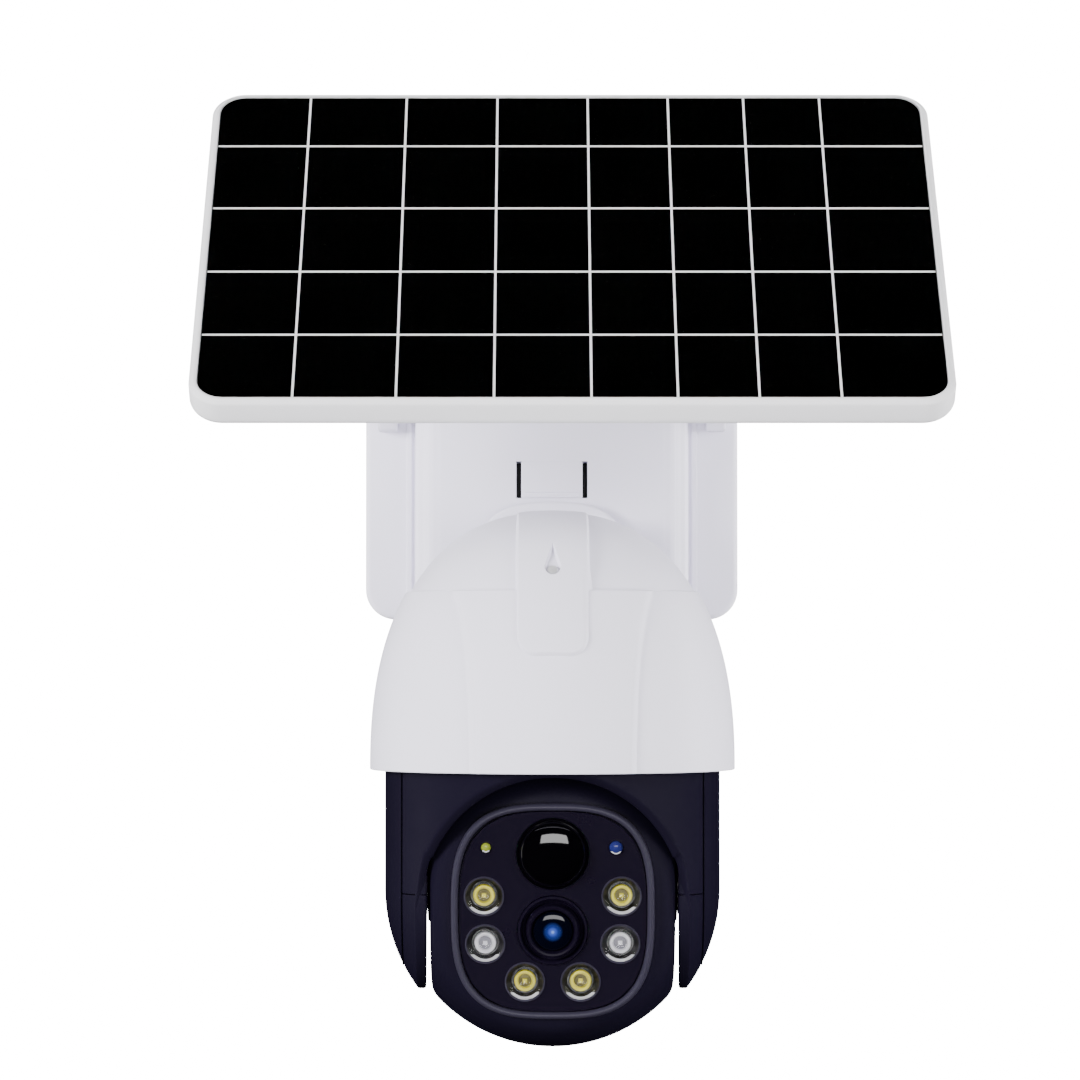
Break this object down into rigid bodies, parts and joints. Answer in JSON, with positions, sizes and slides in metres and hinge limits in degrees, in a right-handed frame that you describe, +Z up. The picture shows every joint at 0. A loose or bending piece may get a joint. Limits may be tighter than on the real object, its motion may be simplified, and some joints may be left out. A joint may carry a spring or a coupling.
{
  "type": "solar security camera",
  "caption": "Wall-mounted pan-tilt security camera: domed white hood, black yoke and ball head with lamps, battery box and a tilting solar panel.",
  "frame": {"origin": "centre of the wall plate's back face, the face that lies on the wall", "axes": "+Y into the wall, +Z up; the camera looks along -Y"},
  "size_m": [0.2514, 0.1568, 0.3305],
  "materials": {
    "white_plastic": "satin moulded weatherproof plastic",
    "black_plastic": "semi-gloss moulded plastic",
    "grey_trim": "satin moulded plastic",
    "panel_cells": "black solar cells with fine white lines",
    "clear_glass": "clear, polished",
    "dark_lens": "polished, nearly black",
    "steel": "zinc-plated",
    "lamp_reflector": "bright reflector",
    "circuit_board": "green solder mask",
    "gear_plastic": "natural acetal",
    "cell_wrap": "shrink film",
    "status_green": "clear tinted",
    "sensor_blue": "clear tinted",
    "rubber": "matte"
  },
  "bodies": {
    "root": {"wall_plate": "steel", "box_back": "white_plastic", "box_front": "white_plastic", "battery_cell_1": "cell_wrap", "battery_cell_2": "cell_wrap", "battery_cell_3": "cell_wrap", "battery_cell_4": "cell_wrap", "charge_board": "circuit_board", "charge_port_plug": "rubber", "neck_collar": "white_plastic", "hood_skirt": "white_plastic", "hood_cap": "white_plastic", "hood_screw": "steel", "base_plate": "black_plastic", "pan_bearing": "steel", "pan_motor": "steel", "main_board": "circuit_board", "bracket_left": "white_plastic", "bracket_right": "white_plastic", "thumb_screw_left": "black_plastic", "thumb_screw_right": "black_plastic"},
    "release_tab": {"release_tab": "white_plastic"},
    "power_button": {"power_button": "grey_trim"},
    "pan_pinion": {"pan_pinion": "gear_plastic"},
    "yoke": {"yoke": "black_plastic", "arm_cap_left": "black_plastic", "arm_cap_right": "black_plastic", "arm_cover_left": "black_plastic", "arm_cover_right": "black_plastic", "pan_gear": "gear_plastic", "tilt_bush_left": "steel", "tilt_bush_right": "steel", "tilt_motor": "steel"},
    "tilt_pinion": {"tilt_pinion": "gear_plastic"},
    "head": {"head_shell_front": "black_plastic", "head_shell_rear": "black_plastic", "tilt_hub_left": "steel", "tilt_hub_right": "steel", "tilt_gear": "gear_plastic", "face_plate": "black_plastic", "bezel_ring": "grey_trim", "motion_dome": "dark_lens", "motion_sensor": "steel", "lens_barrel": "black_plastic", "lens_glass": "dark_lens", "image_board": "circuit_board", "lamp_board": "circuit_board", "lamp_cup_warm_upper_left": "lamp_reflector", "lamp_cup_warm_upper_right": "lamp_reflector", "lamp_cup_warm_lower_left": "lamp_reflector", "lamp_cup_warm_lower_right": "lamp_reflector", "lamp_cup_white_left": "lamp_reflector", "lamp_cup_white_right": "lamp_reflector", "status_light": "status_green", "light_sensor": "sensor_blue"},
    "solar_panel": {"panel_frame": "white_plastic", "cell_sheet": "panel_cells", "panel_glass": "clear_glass", "panel_back": "white_plastic", "junction_box": "black_plastic"}
  },
  "joints": [
    {"name": "pan", "type": "hinge", "parent": "root", "child": "yoke", "pos_m": [0, -0.095, -0.0867], "axis": [0, 0, 1], "range_deg": [-175, 175]},
    {"name": "pan_pinion_spin", "type": "hinge", "parent": "root", "child": "pan_pinion", "pos_m": [0, -0.059, -0.083], "axis": [0, 0, 1], "range_deg": [-880, 880]},
    {"name": "tilt", "type": "hinge", "parent": "yoke", "child": "head", "pos_m": [0, -0.095, -0.1434], "axis": [1, 0, 0], "range_deg": [-8, 81]},
    {"name": "tilt_pinion_spin", "type": "hinge", "parent": "yoke", "child": "tilt_pinion", "pos_m": [-0.0454, -0.095, -0.1242], "axis": [1, 0, 0], "range_deg": [-246, 27]},
    {"name": "panel_tilt", "type": "hinge", "parent": "root", "child": "solar_panel", "pos_m": [0, -0.0615, 0.0754], "axis": [1, 0, 0], "range_deg": [-35, 15]},
    {"name": "release_tab_bend", "type": "hinge", "parent": "root", "child": "release_tab", "pos_m": [0, -0.033, 0.0039], "axis": [1, 0, 0], "range_deg": [0, 9], "stiffness_Nm_per_rad": 0.3},
    {"name": "power_button_press", "type": "slide", "parent": "root", "child": "power_button", "axis": [0, 0, 1], "range_m": [0, 0.0008], "stiffness_N_per_m": 500}
  ],
  "couplings": [
    {"joint": "pan_pinion_spin", "follows": "pan", "ratio": -5},
    {"joint": "tilt_pinion_spin", "follows": "tilt", "ratio": -3}
  ]
}
